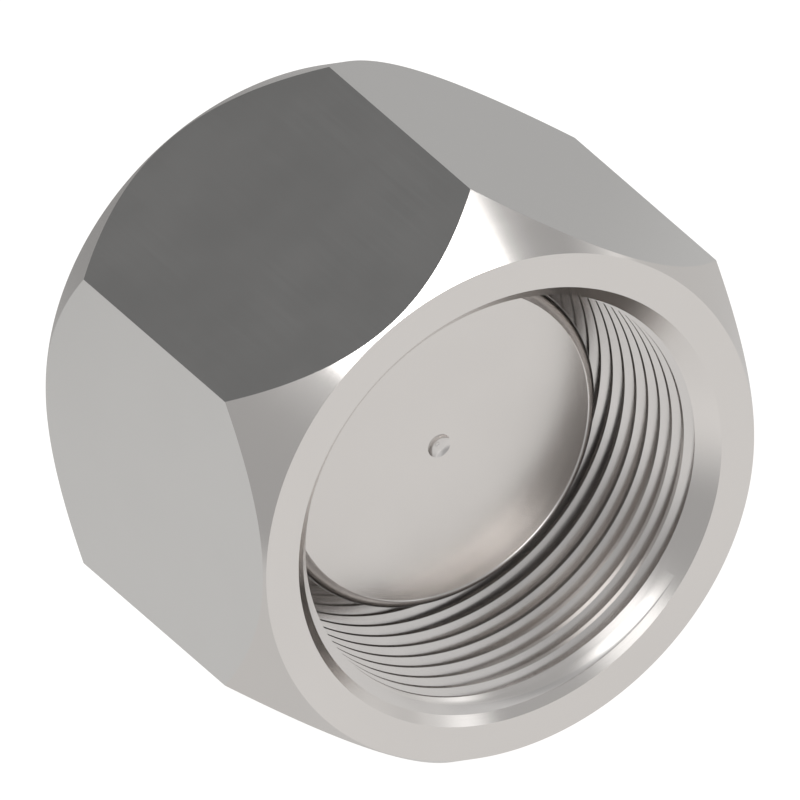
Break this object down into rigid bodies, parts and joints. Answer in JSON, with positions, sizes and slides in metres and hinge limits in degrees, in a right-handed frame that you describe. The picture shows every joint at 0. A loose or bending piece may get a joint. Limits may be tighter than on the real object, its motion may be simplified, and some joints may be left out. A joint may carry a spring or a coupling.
{
  "type": "threaded protection cap",
  "caption": "Hexagonal stainless steel screw cap with long chamfers, a deep threaded bore and a round boss standing inside it.",
  "frame": {"origin": "on the flat that the cap lies on, midway between its two ends and under its axis", "axes": "-Y along the cap's axis from the closed end to the open mouth; +Z out of the upper flat; the hexagon has two corners at the height of the axis, on +X and -X"},
  "size_m": [0.0416, 0.028, 0.036],
  "materials": {
    "steel": "fine turned and ground stainless steel, satin"
  },
  "bodies": {
    "root": {"hex_cap": "steel"}
  },
  "joints": []
}
